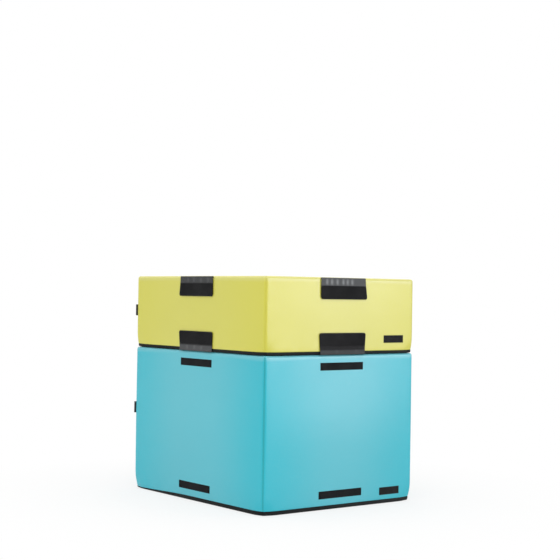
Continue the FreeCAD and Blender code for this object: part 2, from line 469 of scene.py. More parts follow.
def coated_cover(name, colour, seam_shade_colour, seam_shade, crown_highlight):
    """Satin coated cloth, with shade painted along its upright seams, and highlights painted in the
    middle of each side and along its top edges.
    """
    material, tree, shader = start_material(name)
    marks = use_group(tree, handling, Patches_per_metre=2.2)
    ground = mix(marks["Tone"], shade(colour, 0.965), shade(colour, 1.035))
    upright = kept_value(tree, "upright_distance")
    # Painted highlights: paler toward the middle of each side, away from its upright seams, and paler
    # near the top edges.
    crown_highlight_share = map_range(upright, 0.0, crown_run, 0.0, crown_highlight, "SMOOTHSTEP")
    edge_highlight_share = map_range(kept_value(tree, "top_distance"), 2 * mm, 24 * mm, 0.18, 0.0)
    highlight_share = calculate("MAXIMUM", crown_highlight_share, edge_highlight_share)
    ground = mix(highlight_share, ground, shade(painted_highlight_colour))
    # Painted shade: the colour darkens toward the upright seams, within eight millimetres of them.
    seam_shade_share = map_range(upright, 1 * mm, 8 * mm, seam_shade, 0.0)
    ground = mix(seam_shade_share, ground, shade(seam_shade_colour))
    ground = add_dust(marks, 0.12, ground, pale_dust)
    paint(shader, ground, map_range(marks["Rub"], 0.0, 1.0, 0.33, 0.30))
    add_grain(shader, (1400.0, 0.05 * mm, 0.6), (900.0, 0.12 * mm, 0.5))
    return material


def dotted_base(name):
    """Black non-slip sheet with raised dots and specks of grey dust."""
    material, tree, shader = start_material(name)
    marks = use_group(tree, handling, Patches_per_metre=6.0)
    ground = mix(marks["Rub"], (0.004, 0.006, 0.006, 1.0), (0.008, 0.010, 0.010, 1.0))
    ground = add_dust(marks, 0.08, ground, (0.16, 0.15, 0.14))
    paint(shader, ground, map_range(marks["Tone"], 0.3, 0.7, 0.58, 0.78), 0.18)
    add_grain(shader, (420.0, 0.25 * mm, 0.8), (1600.0, 0.1 * mm, 0.6))
    return material


def pile_tape(name, dark, light, scale, depth):
    """Black tape with a pile of loops or hooks, matte, with highlights painted on its tips and shade
    painted between them.
    """
    material, tree, shader = start_material(name)
    place = place_of(tree)
    tips = add_node(tree, "TexVoronoi", None, Vector=place, Scale=scale).outputs["Distance"]
    marks = use_group(tree, handling, Patches_per_metre=14.0)
    # Painted highlight and shade: paler at the tips of the pile, darker between them.
    ground = mix(map_range(tips, 0.1, 0.6, 1.0, 0.0), shade(dark), shade(light))
    ground = add_dust(marks, 0.12, ground, (0.25, 0.25, 0.24))
    paint(shader, ground, map_range(marks["Tone"], 0.3, 0.7, 0.72, 0.92), 0.15)
    fuzz = noise_value(place, scale * 2.3, 2.0)
    height = calculate("SUBTRACT", calculate("MULTIPLY", fuzz, 0.5), tips)
    add_bump(shader, height, depth, 0.9)
    return material


def woven_band(name, dark, light, threads, gloss, wear_and_fold_highlight=None):
    """Narrow woven goods: webbing, label, zip tape, and flap cloth, which has a highlight painted along
    its folds.
    """
    material, tree, shader = start_material(name)
    marks = use_group(tree, handling, Patches_per_metre=10.0)
    height = use_group(tree, weave, Threads_per_metre=threads)["Height"]
    # Painted shade: the raised threads are lighter and the hollows between them darker.
    ground = mix(map_range(height, -1.0, 1.0), shade(dark), shade(light))
    # Flap cloth takes a painted highlight on its fold zone, from the value kept with its points.
    if wear_and_fold_highlight:
        ground = mix(kept_value(tree, "wear_and_fold_highlight"), ground, shade(wear_and_fold_highlight))
    ground = add_dust(marks, 0.06, ground, (0.3, 0.29, 0.27))
    paint(shader, ground, map_range(marks["Rub"], 0.0, 1.0, gloss + 0.08, gloss - 0.08), 0.12)
    fill_inputs(shader, {"Sheen Weight": 0.04})
    add_bump(shader, height, 0.2 / threads, 0.7)
    return material


def open_foam(name, colour):
    """Firm foam, cut by wire, with its open cells showing and shade painted into their hollows."""
    material, tree, shader = start_material(name)
    cells = add_node(tree, "TexVoronoi", None, Vector=place_of(tree), Scale=420.0).outputs["Distance"]
    tone = use_group(tree, handling, Patches_per_metre=5.0)["Tone"]
    # Painted shade: the hollows of the cells are darker.
    ground = mix(map_range(cells, 0.0, 0.7), shade(colour, 0.7), shade(colour))
    ground = mix(calculate("MULTIPLY", tone, 0.2), ground, shade(colour, 0.85))
    paint(shader, ground, map_range(tone, 0.3, 0.7, 0.82, 0.95))
    add_bump(shader, cells, 0.6 * mm, 0.8)
    return material


def lacquered_metal(name):
    """Black lacquer on cast metal, with bright metal showing through in small scratches of wear."""
    material, tree, shader = start_material(name)
    wear_and_fold_highlight = map_range(noise_value(place_of(tree), 900.0, 4.0), 0.58, 0.66)
    ground = mix(wear_and_fold_highlight, (0.02, 0.02, 0.022, 1.0), (0.35, 0.34, 0.33, 1.0))
    paint(shader, ground, map_range(wear_and_fold_highlight, 0.0, 1.0, 0.32, 0.45))
    fill_inputs(shader, {"Metallic": wear_and_fold_highlight})
    add_bump(shader, wear_and_fold_highlight, -0.03 * mm, 0.5)
    return material


def sewing_thread(name, colour):
    """Twisted thread, a shade away from the cloth that it sews."""
    material, tree, shader = start_material(name)
    place = add_node(tree, "SeparateXYZ", None, Vector=place_of(tree)).outputs
    slant = calculate("ADD", place["X"], calculate("ADD", place["Y"], place["Z"]))
    twist = calculate("SINE", calculate("MULTIPLY", slant, 9000.0))
    # Painted shade: the grooves of the twist are darker and its ridges lighter.
    ground = mix(map_range(twist, -1.0, 1.0), shade(colour, 0.75), shade(colour, 1.1))
    paint(shader, ground, map_range(twist, -1.0, 1.0, 0.5, 0.65))
    add_bump(shader, twist, 0.05 * mm, 0.6)
    return material


# After each cover's colour come the colour and the strength of the shade painted into its upright
# seams, and the strength of the highlight painted in the middle of its sides.
cover_material = {
    "upper": coated_cover("yellow_coat", (0.70, 0.665, 0.075), (0.50, 0.45, 0.05), 0.35, 0.036),
    "lower": coated_cover("turquoise_coat", (0.015, 0.515, 0.628), (0.005, 0.37, 0.42), 0.95, 0.09)}
cover_slot = {"upper": "yellow_cover", "lower": "turquoise_cover"}
base_sheet = dotted_base("base_sheet")
loop_pile = pile_tape("loop_pile", (0.005, 0.006, 0.007), (0.016, 0.017, 0.019), 1100.0, 0.5 * mm)
hook_pile = pile_tape("hook_pile", (0.006, 0.006, 0.007), (0.018, 0.018, 0.019), 700.0, 0.6 * mm)
# The last colour is that of the highlight painted on the fold zones.
flap_cloth = woven_band("flap_cloth", (0.004, 0.004, 0.005), (0.012, 0.012, 0.013), 900.0, 0.42,
                        (0.30, 0.31, 0.32))
label_cloth = woven_band("label_cloth", (0.003, 0.003, 0.003), (0.008, 0.008, 0.009), 1600.0, 0.6)
strap_web = woven_band("strap_web", (0.012, 0.012, 0.013), (0.045, 0.045, 0.047), 520.0, 0.62)
zip_cloth = woven_band("zip_cloth", (0.012, 0.012, 0.013), (0.030, 0.030, 0.032), 1500.0, 0.7)
zip_lacquer = lacquered_metal("zip_lacquer")
core_foam = open_foam("core_foam", (0.36, 0.38, 0.40))
pad_foam = open_foam("pad_foam", (0.62, 0.60, 0.52))
black_thread = sewing_thread("black_thread", (0.035, 0.035, 0.038))
print("materials", [material.name for material in bpy.data.materials])

# %% [markdown]
# The cover of a module is five panels and a base, sewn together round the foam. It could be drawn as
# six flat sheets, but then the seams would have to be fitted to each other. Here it is one closed
# skin first: a cube with loops close beside the seams and an even grid between them, rounded at its
# edges. Later it is cut along the seams into its panels, which therefore meet exactly.

# %% Skin of a module
edge_radius = 10.5 * mm
base_radius = 4 * mm
loops_beside_seam = [1.5 * mm, 4.2 * mm, 7.4 * mm, edge_radius]
loops_at_base = [1 * mm, 2.2 * mm, base_radius]
loops_beside_rim = [-1.5 * mm, 0, 1.5 * mm]
cover_grid = 22 * mm
tolerance = 0.1 * mm
top_upright_limit = 20 * mm
panel_names = ["front", "right", "back", "left", "top", "base"]


def divide_long_edges(piece, step):
    """Divide the long edges of the open mesh evenly, one axis at a time."""
    for axis in range(3):
        spans = []

        def is_long(edge):
            run = abs(edge_run(edge)[axis])
            if run > 2 * step:
                spans.append(run)
            return run > 2 * step

        if select_parts(piece, "EDGE", is_long):
            bpy.ops.mesh.subdivide(number_cuts=round(spans[0] / step) - 1)


def panel_of(face, rim_level):
    """The number of the panel that a face of the plain skin belongs to."""
    if face.normal.z < -0.5 or face.center.z < rim_level:
        return panel_names.index("base")
    if face.normal.z > 0.5:
        return panel_names.index("top")
    turn = round(math.degrees(math.atan2(face.normal.x, -face.normal.y))) % 360
    return turn // 90


def keep_distances(skin, low, high, rim_level):
    """Keep how far each point is from its seams, and from the level, top and upright ones."""
    points = points_of(skin)
    to_planes = np.minimum(points - low, high - points)
    to_edge = np.sort(to_planes, axis=1)[:, 1]
    to_upright = to_planes[:, :2].max(axis=1)
    to_top = high[2] - points[:, 2]
    to_rim = np.abs(points[:, 2] - rim_level)
    in_base = points[:, 2] < rim_level - tolerance
    on_top = to_top < tolerance
    store_value(skin, "seam_distance", np.where(in_base, to_rim + to_edge, np.minimum(to_edge, to_rim)))
    store_value(skin, "level_distance", np.where(on_top, to_edge, np.minimum(to_top, to_rim)))
    store_value(skin, "top_distance", np.where(on_top, to_edge, to_top))
    to_upright = np.where(on_top, np.minimum(to_upright, top_upright_limit), to_upright)
    store_value(skin, "upright_distance", to_upright)


def cover_skin(module):
    """The closed, rounded skin of one module, with its panels numbered."""
    low, high = module_box[module]
    rim_level = low.z + base_rim[module]
    skin = start_cube(module + "_skin", low, high)
    for axis in range(3):
        for loop in loops_beside_seam:
            cut_round(axis, high[axis] - loop)
        for loop in loops_at_base if axis == 2 else loops_beside_seam:
            cut_round(axis, low[axis] + loop)
    for loop in loops_beside_rim:
        cut_round(2, rim_level + loop)
    divide_long_edges(skin, cover_grid)
    close_mesh()
    dress(skin, *[bpy.data.materials.new(name) for name in panel_names])
    for face in skin.data.polygons:
        face.material_index = panel_of(face, rim_level)

    low, high = np.array(low), np.array(high)
    keep_distances(skin, low, high, rim_level)
    points = points_of(skin)
    core = np.clip(points, low + (edge_radius, edge_radius, base_radius), high - edge_radius)
    radii = np.full(points.shape, edge_radius)
    radii[points[:, 2] < core[:, 2], 2] = base_radius
    outward = (points - core) / radii
    outward /= np.linalg.norm(outward, axis=1)[:, None]
    move_points(skin, core + outward * radii)
    return skin


# %% [markdown]
# The lower corners of the real covers are soft: the base is cut with rounded corners, so each corner
# seam bends in over its last few centimetres. A pull on the corner with proportional editing, which
# fades out over about five centimetres, gives that.

# %% Soft lower corners
corner_pull = {"lower": 7 * mm, "upper": 4 * mm}
corner_lift = 1 * mm
corner_reach = {"lower": 55 * mm, "upper": 50 * mm}


def soften_lower_corners(skin, module):
    """Pull the four lower corners of a skin in, with a soft fade."""
    low, high = module_box[module]
    pull = corner_pull[module]
    open_mesh(skin)
    for across, along in ((-1, -1), (-1, 1), (1, -1), (1, 1)):
        corner = Vector((across * high.x, along * high.y, low.z))
        points = bmesh.from_edit_mesh(skin.data).verts
        nearest = min(points, key=lambda point: (point.co - corner).length).index
        select_parts(skin, "VERT", lambda point: point.index == nearest)
        bpy.ops.transform.translate(value=(-across * pull, -along * pull, corner_lift),
                                    use_proportional_edit=True, proportional_edit_falloff="SMOOTH",
                                    proportional_size=corner_reach[module])
    close_mesh()


# %% [markdown]
# The two modules have stood for a while, and the lower cover has slid down a little over its base
# toward the front left corner, where less of the black shows. The points of the hem are lowered there.

# %% Hem that has slid down
hem_drop = 10 * mm
hem_run = 420 * mm
hem_fade = 60 * mm


def lower_hem(skin):
    """Let the hem of the lower cover hang lower toward the front left corner."""
    low = module_box["lower"][0]
    points = points_of(skin)
    rim_level = low.z + base_rim["lower"]
    from_corner = np.linalg.norm(points[:, :2] - np.array((low.x, low.y)), axis=1)
    share = 1 - smooth_step(from_corner / hem_run)
    edge_level = low.z + base_radius
    above_edge = np.clip((points[:, 2] - edge_level) / (rim_level - edge_level), 0, 1)
    fade = 1 - smooth_step((points[:, 2] - rim_level) / hem_fade)
    points[:, 2] -= hem_drop * share * above_edge * fade
    move_points(skin, points)


# %% [markdown]
# The foam presses the cover out a little, and the taller module more. The seams round the top and the
# base hold it, while the upright seams give with the cloth. Cloth simulation finds that crown: a wide
# band beside the level seams is pinned, a small pressure acts from inside, and gravity is off. The
# farthest point is then held to the crown's height, which keeps the cover clear of the flaps.

# %% Crown of the panels
crown_height = {"lower": 10 * mm, "upper": 2.5 * mm}
sewn_band = 80 * mm
free_band = {"lower": 170 * mm, "upper": 90 * mm}
foam_pressure = 3
stretch_stiffness = 40
bend_stiffness = 4
settle_frames = 16
ease_rounds = 80


def ease(skin, moved):
    """Spread the movement of each point over its neighbours, so that no ripples are left."""
    ends = np.empty(len(skin.data.edges) * 2, int)
    skin.data.edges.foreach_get("vertices", ends)
    first, second = ends.reshape(-1, 2).T
    count = np.bincount(ends, minlength=len(moved))[:, None]
    for _ in range(ease_rounds):
        total = np.zeros_like(moved)
        np.add.at(total, first, moved[second])
        np.add.at(total, second, moved[first])
        moved = (moved + total / count) / 2
    return moved


def settle_cover(skin, module):
    """Swell a skin between its seams by cloth simulation."""
    before = points_of(skin)
    low, high = module_box[module]
    free = smooth_step((read_value(skin, "level_distance") - sewn_band) / free_band[module])
    free[before[:, 2] < low.z + base_rim[module]] = 0
    if module == "lower":
        free[before[:, 2] > high.z - edge_radius] = 0
    pinned = skin.vertex_groups.new(name="sewn")
    for number, share in enumerate(free):
        pinned.add([number], 1 - float(share), "REPLACE")
    select_only(skin)
    cloth = skin.modifiers.new("cloth", "CLOTH")
    cloth.settings.vertex_group_mass = pinned.name
    cloth.settings.use_pressure = True
    cloth.settings.uniform_pressure_force = foam_pressure
    cloth.settings.tension_stiffness = stretch_stiffness
    cloth.settings.compression_stiffness = stretch_stiffness
    cloth.settings.bending_stiffness = bend_stiffness
    cloth.settings.effector_weights.gravity = 0
    cloth.collision_settings.use_collision = False
    for step in range(1, settle_frames + 1):
        bpy.context.scene.frame_set(step)
    bpy.ops.object.modifier_apply(modifier=cloth.name)
    bpy.context.scene.frame_set(1)
    skin.vertex_groups.clear()
    moved = ease(skin, points_of(skin) - before)
    farthest = float(np.linalg.norm(moved, axis=1).max())
    move_points(skin, before + moved * min(1.0, crown_height[module] / max(farthest, 1e-6)))
    print(module, "cover settled", round(farthest / mm, 2), "mm, held to", crown_height[module] / mm)


# %% [markdown]
# Sewing draws the cloth into the seam, so the seam line lies a little deeper than the cloth beside
# it. The seam's edges are creased, which keeps them sharp when the skin is subdivided. The cloth then
# gets what a tight cover always has: a faint waviness all over, and small slanted puckers that run up
# from the base seam and fade away. The scales of these are in waves per metre.

# %% Seams and puckers
seam_depth = 0.5 * mm
seam_hold = 8 * mm
wave_height = 0.12 * mm
wave_scale = 9
pucker_height = 0.9 * mm
pucker_reach = 45 * mm
pucker_scale = 24
pucker_slant = 0.6
pucker_stretch = 0.35
gather_reach = 20 * mm
gather_scale = 30
gather_share = 0.5


def draw_in_seams(skin):
    """Sink and crease the seam lines of a skin, and subdivide it."""
    at_seam = read_value(skin, "seam_distance") < 0.5 * tolerance
    points = points_of(skin)
    points[at_seam] -= normals_of(skin)[at_seam] * seam_depth
    move_points(skin, points)
    open_mesh(skin)
    select_parts(skin, "EDGE", lambda edge: all(at_seam[point.index] for point in edge.verts))
    bpy.ops.transform.edge_crease(value=1)
    close_mesh()
    apply_modifier(skin, "SUBSURF", levels=1, render_levels=1)


def ruffle(skin, module):
    """Add the waviness, the puckers and the gathers of sewn cloth."""
    low = module_box[module][0]
    points = points_of(skin)
    rise = np.zeros(len(points))
    for number, (point, away) in enumerate(zip(points, read_value(skin, "seam_distance"))):
        above = point[2] - low.z - base_rim[module]
        slant = pucker_slant * above
        slanted = Vector((point[0] + slant, point[1] - slant, pucker_stretch * above))
        wave = wave_height * noise.noise(Vector(point) * wave_scale)
        pucker = math.exp(-abs(above) / pucker_reach) * noise.noise(slanted * pucker_scale)
        gather = gather_share * math.exp(-away / gather_reach)
        gather *= noise.noise(Vector(point) * gather_scale)
        rise[number] = (wave + pucker_height * (pucker + gather)) * min(1.0, away / seam_hold)
    rise[points[:, 2] < low.z + 0.5 * base_rim[module]] = 0
    move_points(skin, points + normals_of(skin) * rise[:, None])


# %% [markdown]
# Each panel of a real cover is a sheet of its own. The faces of the skin were numbered by panel, so
# the skin can be parted by material slot, and a solidify modifier gives every sheet its thickness,
# inward, so that the outside stays where it was shaped.

# %% Cut into panels
cloth_thickness = 1.2 * mm
base_thickness = 4 * mm


def cut_into_panels(skin, module):
    """Part a skin along its seams, and give each panel its thickness."""
    open_mesh(skin)
    bpy.ops.mesh.separate(type="MATERIAL")
    close_mesh()
    panels = {}
    for piece in list(bpy.context.selected_objects):
        name = piece.data.materials[piece.data.polygons[0].material_index].name.split(".")[0]
        piece.name = module + "_" + name + "_cover"
        panels[name] = piece
    for name, piece in panels.items():
        thicken(piece, base_thickness if name == "base" else cloth_thickness, -1)
    return panels


# %% [markdown]
# The foam is a firm block with a softer pad on top. It fills the cover, so it starts as a copy of the
# skin, a little smaller, and is cut level above the base and between block and pad.

# %% Foam
foam_inset = 2.8 * mm
foam_inset_at_base = 4.8 * mm
foam_floor = 6.4 * mm
foam_step = 3 * mm
foam_angle = math.radians(40)


def level_cut(piece, height, keep_above):
    """Cut a closed piece level, and cap the cut."""
    open_mesh(piece)
    bpy.ops.mesh.bisect(plane_co=(0, 0, height), plane_no=(0, 0, 1), use_fill=True,
                        clear_inner=keep_above, clear_outer=not keep_above)
    close_mesh()


def fill_with_foam(skin, module):
    """The foam block and the landing pad that fill a skin."""
    low = module_box[module][0]
    pad_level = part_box(module + "_landing_pad")[0].z
    for name, node, material in (("_foam_block", "_foam_core", core_foam),
                                 ("_foam_pad", "_landing_pad", pad_foam)):
        foam = placed_copy(skin, module + name, Matrix.Identity(4))
        points = points_of(foam)
        near_base = points[:, 2] < low.z + base_rim[module] + foam_step
        inset = np.where(near_base, foam_inset_at_base, foam_inset)
        move_points(foam, points - normals_of(foam) * inset[:, None])
        level_cut(foam, pad_level, node == "_landing_pad")
        if node == "_foam_core":
            level_cut(foam, low.z + foam_floor, True)
        dress(foam, material)
        select_only(foam)
        bpy.ops.object.shade_smooth_by_angle(angle=foam_angle)
        hand_over(foam, module + "_module", "foam", module + node)


# %% [markdown]
# Now both modules go through these steps in turn. The foam is taken from the swollen skin before the
# seams are drawn in, because the sewing shapes the cloth alone.

# %% Build both covers over their foam
covers = {}
for module in module_box:
    skin = cover_skin(module)
    if module == "lower":
        lower_hem(skin)
    soften_lower_corners(skin, module)
    settle_cover(skin, module)
    fill_with_foam(skin, module)
    draw_in_seams(skin)
    ruffle(skin, module)
    covers[module] = cut_into_panels(skin, module)
    print(module, {name: len(piece.data.polygons) for name, piece in covers[module].items()})

# %% [markdown]
# The panels now take their colour. The base keeps its own black sheet, with a slot where the zip
# shows, cut out with a boolean so that the opening has clean edges.

# %% Dress the panels
zip_slot_width = 20 * mm
zip_overlap = 10 * mm
slot_reach = 12 * mm


def cut_zip_slot(base, module):
    """Cut the opening for the zip out of a base."""
    low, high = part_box(module + "_zip_tape")
    middle = (low + high) / 2
    half = Vector(((high.x - low.x) / 2 - zip_overlap, zip_slot_width / 2, slot_reach))
    cutter = start_cube("slot_cutter", middle - half, middle + half)
    close_mesh()
    apply_modifier(base, "BOOLEAN", object=cutter, operation="DIFFERENCE", solver="EXACT")
    bpy.data.objects.remove(cutter)


def panel_size(name, module):
    """Width and length of a panel before it was sewn in."""
    low, high = module_box[module]
    size = high - low
    if name in ("top", "base"):
        return size.x, size.y
    return (size.x if name in ("front", "back") else size.y), size.z - base_rim[module]


for module, panels in covers.items():
    for name, piece in panels.items():
        if name == "base":
            dress(piece, base_sheet)
            cut_zip_slot(piece, module)
            hand_over(piece, module + "_module", "black_base", module + "_base_tray")
        else:
            dress(piece, cover_material[module])
            hand_over(piece, module + "_module", cover_slot[module], module + "_" + name + "_panel")
    print(module, "panels", {name: panel_size(name, module) for name in panels})

# %% [markdown]
# Everything sewn on is held by rows of stitches. One stitch is a small flattened ball, and an array
# repeats it along the row, as a machine does. Rows are joined into the tape or patch that they hold.

# %% Stitches
stitch_length = 3 * mm
stitch_pitch = 4 * mm
thread_width = 0.7 * mm
thread_depth = 0.5 * mm


def stitch_row(start, end, depth):
    """A row of stitches between two points (x, z), lying at a depth in front of the plane Y = 0."""
    run = Vector(end) - Vector(start)
    row = start_piece("row", bpy.ops.mesh.primitive_uv_sphere_add, segments=6, ring_count=4, radius=0.5)
    bpy.ops.object.mode_set(mode="EDIT")
    bpy.ops.transform.resize(value=(stitch_length, thread_depth, thread_width))
    bpy.ops.transform.translate(value=(stitch_pitch / 2, 0, 0))
    close_mesh()
    count = max(1, int(run.length / stitch_pitch))
    repeat_along(row, count, run.length / count)
    turn = Matrix.Rotation(-math.atan2(run.y, run.x), 4, "Y")
    row.data.transform(Matrix.Translation((start[0], -depth, start[1])) @ turn)
    dress(row, black_thread)
    bpy.ops.object.shade_smooth()
    return row


def stitch_frame(half_width, half_height, depth):
    """Four rows of stitches round a rectangle."""
    corners = [(-half_width, -half_height), (half_width, -half_height), (half_width, half_height),
               (-half_width, half_height)]
    return [stitch_row(corners[number - 1], corners[number], depth) for number in range(4)]


# %% [markdown]
# Strips, hook tapes and label patches are all narrow woven goods: a flat edge that the stitches go
# through, and a field that stands a little higher or lies a little lower. A cube, an inset and an
# extrude make each, and a narrow bevel takes off the sharp edges.

# %% Sewn tapes
tape_back = 0.4 * mm
tape_bevel = 0.12 * mm
tape_grid = 15 * mm
stitch_inset_share = 0.6


def sewn_tape(name, width, height, edge_thickness, field_rise, selvage, corner, material):
    """A tape with rounded corners, a flat edge, a field of its own height and a frame of stitches."""
    tape = start_cube(name, (-width / 2, -edge_thickness, -height / 2),
                      (width / 2, tape_back, height / 2))
    select_parts(tape, "EDGE", lambda edge: abs(edge_run(edge).y) > 0.5 * edge_thickness)
    bpy.ops.mesh.bevel(offset=corner, segments=4)
    select_parts(tape, "FACE", lambda face: face.normal.y < -0.9)
    bpy.ops.mesh.inset(thickness=selvage)
    bpy.ops.mesh.extrude_region_move(TRANSFORM_OT_translate={"value": (0, -field_rise, 0)})
    bpy.ops.mesh.select_mode(type="EDGE")
    bpy.ops.mesh.select_all(action="DESELECT")
    bpy.ops.mesh.edges_select_sharp(sharpness=math.radians(60))
    bpy.ops.mesh.bevel(offset=tape_bevel, segments=2)
    for place in np.arange(-width / 2, width / 2, tape_grid)[1:]:
        cut_round(0, place)
    cut_round(2, 0)
    close_mesh()
    dress(tape, material)
    inset = selvage * stitch_inset_share
    rows = stitch_frame(width / 2 - inset, height / 2 - inset, edge_thickness)
    return join_pieces(name, [tape, *rows])


# %% [markdown]
# A loop strip is what a flap grips. One is modelled, and its copies go to the four sides at the height
# of their solids. The four of a row are joined, as they are one node in the frame.

# %% Loop strips
strip_size = (218 * mm, 30 * mm)
strip = sewn_tape("strip", *strip_size, edge_thickness=0.9 * mm, field_rise=0.5 * mm,
                  selvage=2.4 * mm, corner=1.5 * mm, material=loop_pile)
for module in module_box:
    for row in (module + "_top", module + "_bottom"):
        place = Matrix.Translation((0, 0, middle_of(row + "_strips").z))
        copies = [placed_copy(strip, "strip_" + side, side_matrix(side) @ place) for side in side_turns]
        strips = join_pieces(row + "_loops", copies)
        hand_over(strips, module + "_module", "loop_strip", row + "_strips")
        print(strips.name, len(strips.data.polygons))
bpy.data.objects.remove(strip)

# %% [markdown]
# The label patch is sewn to the lower right of the right side. It is a bare woven patch with a hem.
# The cover is not quite flat there, because the corner below is soft, so the patch is laid onto the
# cover: each of its points moves in as far as the cover lies behind the plane that it was drawn on.

# %% Label patches
label_size = (105 * mm, 30 * mm)


def lay_on_cover(piece, module, side, farthest=1.0):
    """Move the points of a piece on a side by as far as the cover lies off the plane of that side."""
    matrix = side_matrix(side)
    back = matrix.inverted()
    toward = matrix.to_3x3() @ Vector((0, 1, 0))
    points = points_of(piece)
    for number, point in enumerate(points):
        local = back @ Vector(point)
        along = min(max(local.x, -farthest), farthest)
        start = matrix @ Vector((along, -1, local.z))
        found, place = covers[module][side].ray_cast(start, toward)[:2]
        if found:
            local.y += (back @ place).y
            points[number] = matrix @ local
    move_points(piece, points)


label = sewn_tape("label", *label_size, edge_thickness=1.0 * mm, field_rise=-0.2 * mm,
                  selvage=2.6 * mm, corner=1.0 * mm, material=label_cloth)
for module in module_box:
    middle = middle_of(module + "_label_patch")
    place = Matrix.Translation((middle.y, 0, middle.z))
    patch = placed_copy(label, module + "_bare_label", side_matrix("right") @ place)
    lay_on_cover(patch, module, "right")
    hand_over(patch, module + "_module", "label_patch", module + "_label_patch")
    print(patch.name, len(patch.data.polygons))
bpy.data.objects.remove(label)

# %% [markdown]
# Straps, flaps and flap roots are bands of cloth that follow a path seen from the side. One function
# makes them all: a grid whose rows are laid along the path, given the width that the band has there,
# and then its thickness.

# %% Bands of cloth


def cloth_band(name, path, half_widths, columns):
    """A thin band along X whose rows follow a path of (y, z) points, with a half width for each row."""
    path = np.asarray(path)
    rows = len(path) - 1
    band = start_piece(name, bpy.ops.mesh.primitive_grid_add, x_subdivisions=columns,
                       y_subdivisions=rows, size=2)
    points = points_of(band)
    row = np.rint((points[:, 1] + 1) / 2 * rows).astype(int)
    points[:, 0] *= np.broadcast_to(half_widths, len(path))[row]
    points[:, 1:] = path[row]
    move_points(band, points)
    return band


# %% [markdown]
# The carry strap is one length of webbing on the left side. It leaves the corner seam as a folded
# tab, runs flat along the side, stands off in the middle as a hand loop, and ends in a tab at the
# other corner. Its path is drawn for one half and mirrored. Boxes of stitches hold the loop's ends.

# %% Carry straps
strap_thickness = 2.2 * mm
strap_width = 47 * mm
strap_gap = 0.1 * mm
loop_half = 110 * mm
loop_rise = 30 * mm
tab_reach = 9 * mm
tab_start = 2.4 * mm
tab_sunk = 2 * mm
tab_gap = 0.05 * mm
corner_wrap = math.radians(36)
box_half_width = 26 * mm
box_half_height = 18 * mm
box_distance = 160 * mm
stitch_level = strap_thickness + strap_gap
laid_half = side_distance["front"] - 1.5 * edge_radius


def strap_path(half_span):
    """Half the strap's path, from the middle of the loop to the tab, as (along, outward) points."""
    lie = strap_thickness / 2 + strap_gap
    bend = edge_radius + lie
    path = []
    for share in np.linspace(0, 1, 30):
        path.append((loop_half * share, lie + loop_rise * (1 - smooth_step(share)) ** 1.2))
    for along in np.linspace(loop_half, half_span - edge_radius, 24)[1:]:
        path.append((along, lie))
    for angle in np.linspace(0, corner_wrap, 8)[1:]:
        path.append((half_span - edge_radius + bend * math.sin(angle),
                     -edge_radius + bend * math.cos(angle)))
    seam = edge_radius * (1 - math.sqrt(0.5))
    start = np.array((half_span - seam, -seam))
    out = np.array((1, 1)) / math.sqrt(2)
    side = np.array((-1, 1)) / math.sqrt(2)
    fold = strap_thickness / 2 + tab_gap
    straight = tab_reach - fold - strap_thickness / 2
    for reach in np.linspace(tab_start, straight, 4):
        path.append(start + side * fold + out * reach)
    for angle in np.linspace(0, math.pi, 9)[1:-1]:
        path.append(start + side * fold * math.cos(angle) + out * (straight + fold * math.sin(angle)))
    for reach in np.linspace(straight, -tab_sunk, 6):
        path.append(start - side * fold + out * reach)
    return np.array(path)


def stitch_box(middle):
    """A rectangle of stitches with a cross in it, at a place along the strap."""
    rows = stitch_frame(box_half_width, box_half_height, stitch_level)
    for up in (box_half_height, -box_half_height):
        rows.append(stitch_row((-box_half_width, -up), (box_half_width, up), stitch_level))
    for row in rows:
        row.data.transform(Matrix.Translation((middle, 0, 0)))
    return rows


half_path = strap_path(side_distance["front"])
whole_path = np.vstack([half_path[::-1] * (-1, 1), half_path[1:]])
strap = cloth_band("strap", np.column_stack([-whole_path[:, 1], whole_path[:, 0]]), strap_width / 2, 14)
strap.data.transform(Matrix.Rotation(math.radians(90), 4, "Y"))
thicken(strap, strap_thickness, 0)
dress(strap, strap_web)
strap = join_pieces("strap", [strap, *stitch_box(-box_distance), *stitch_box(box_distance)])
for module in module_box:
    place = Matrix.Translation((0, 0, middle_of(module + "_carry_strap").z))
    piece = placed_copy(strap, module + "_webbing", side_matrix("left") @ place)
    lay_on_cover(piece, module, "left", laid_half)
    hand_over(piece, module + "_module", "webbing", module + "_carry_strap")
    print(piece.name, len(piece.data.polygons))
bpy.data.objects.remove(strap)

# %% [markdown]
# The linking flaps are what makes the box stack. Each is a doubled cloth with a rolled bead along its
# fold line, hook tape on both faces and rounded free corners. The photograph shows them flaring a
# little, with the fold zone pleated, and some leaning to one side.

# %% Sizes of the flaps
flap_reach = 82 * mm
flap_half_root = 113 * mm
flap_flare = 6 * mm
flap_corner = 10 * mm
flap_thickness = 1.0 * mm
bead_radius = 1.5 * mm
bead_turn = math.radians(260)
bead_settle = 24 * mm
fold_zone = 29 * mm
pleat_width = 6 * mm
pale_fade = 8 * mm
tape_margin = 2.5 * mm
tape_height = 50 * mm
tape_middle = flap_reach - tape_margin - tape_height / 2
tape_flare_share = 0.6
tape_half = flap_half_root + flap_flare * tape_flare_share - tape_margin
flap_lean = {("front", "top"): -5 * mm, ("front", "bottom"): 3 * mm,
             ("right", "top"): 6 * mm, ("right", "bottom"): 0}
flap_tuck = {("front", "top"): 4 * mm, ("front", "bottom"): 5 * mm}

